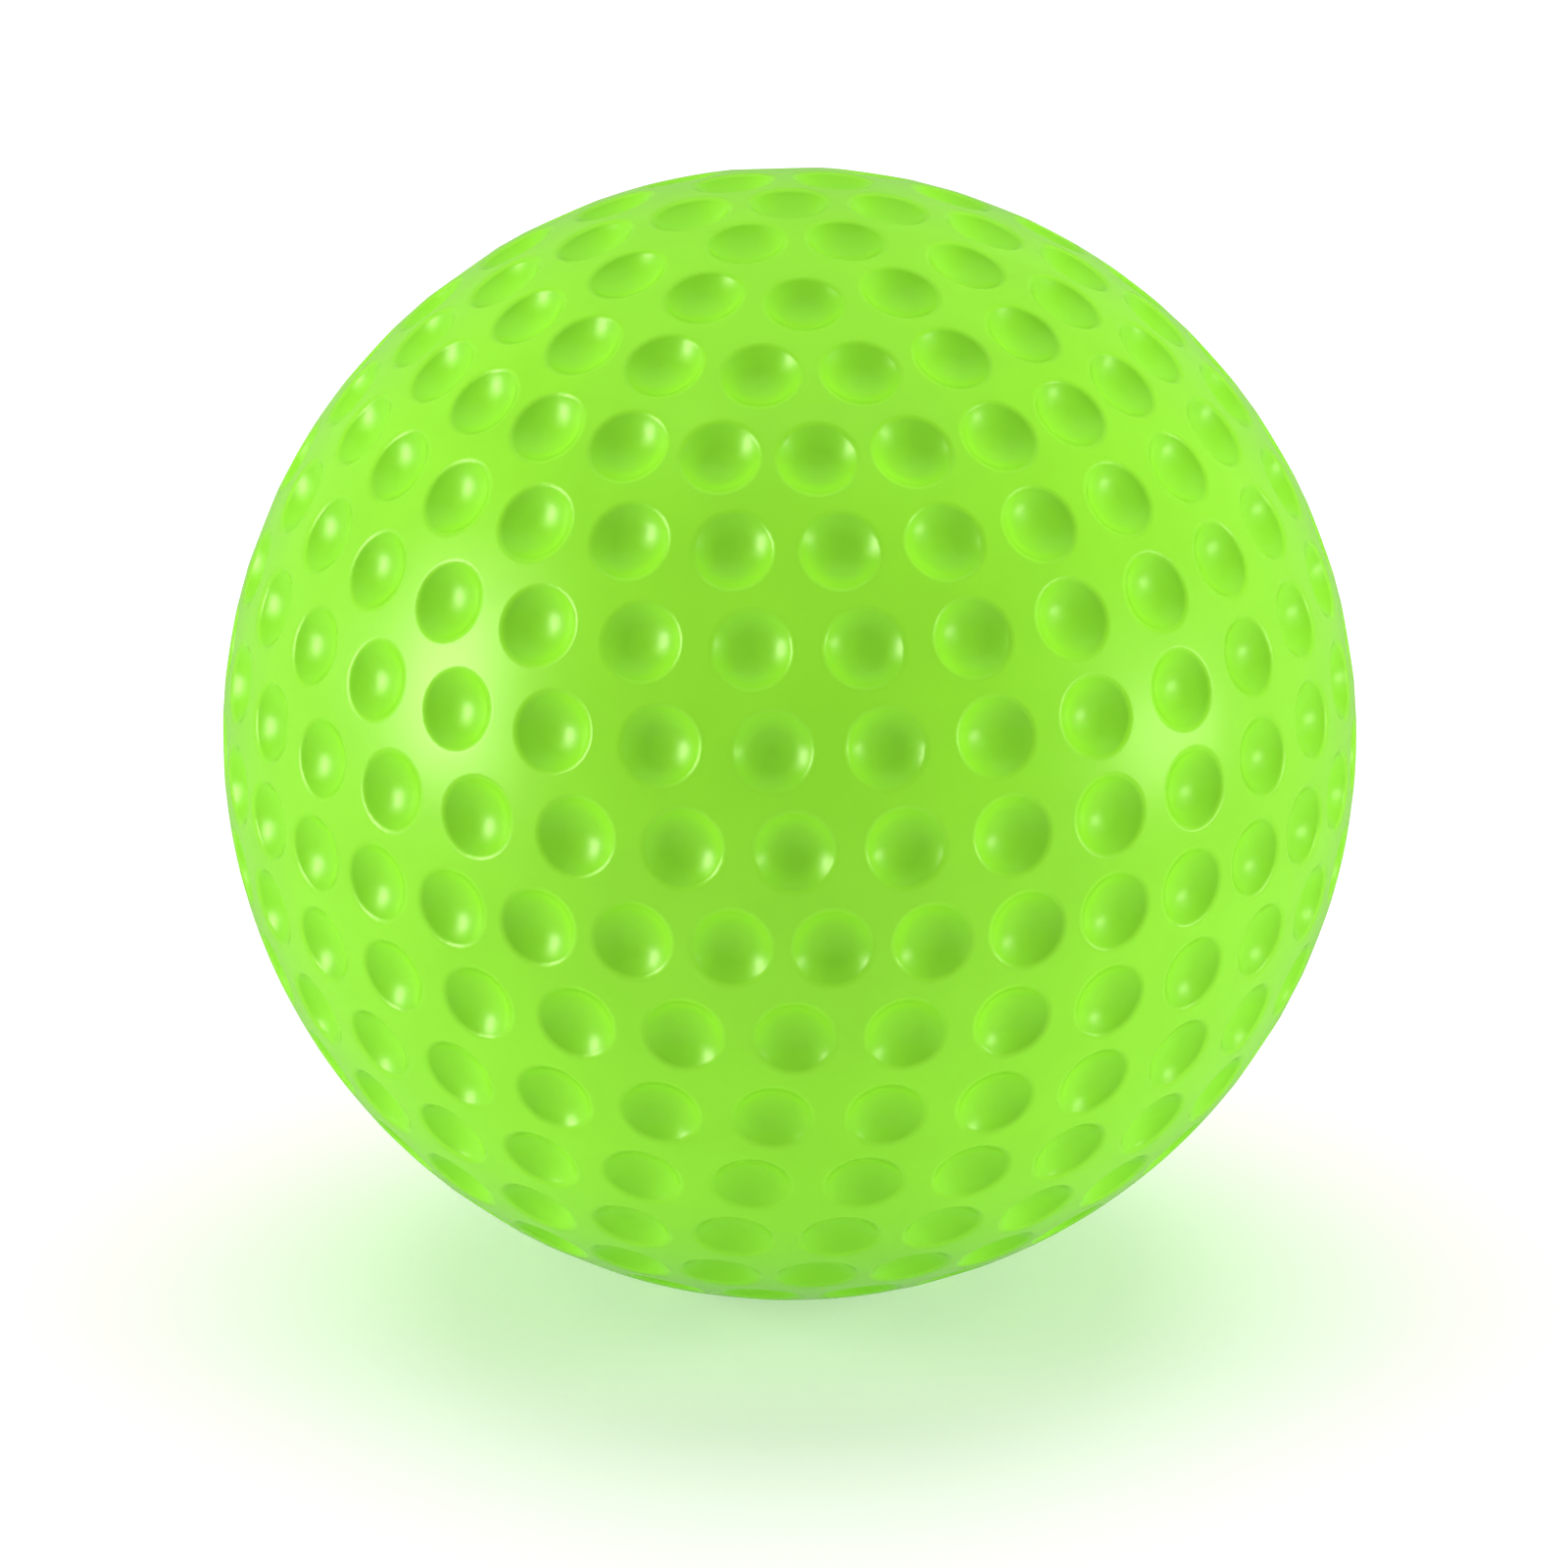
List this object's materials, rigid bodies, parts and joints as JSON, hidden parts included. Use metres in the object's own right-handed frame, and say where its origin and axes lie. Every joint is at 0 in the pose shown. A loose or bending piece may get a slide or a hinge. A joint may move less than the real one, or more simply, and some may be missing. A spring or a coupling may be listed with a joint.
{
  "type": "racquetball",
  "caption": "Hollow lime green rubber ball with round dimples in rings all over, built from two half shells cemented at the equator.",
  "frame": {"origin": "centre of the ball", "axes": "+Z along the moulding axis, from the lower pole to the upper pole, through the single dimple at each pole; +X through the meridian on which every ring has a dimple"},
  "size_m": [0.057, 0.057, 0.057],
  "materials": {
    "lime_rubber": "glossy moulded rubber",
    "rubber_cement": "glossy cured cement of the rubber's colour"
  },
  "bodies": {
    "root": {"upper_half_shell": "lime_rubber", "lower_half_shell": "lime_rubber", "seam_cement": "rubber_cement"}
  },
  "joints": []
}
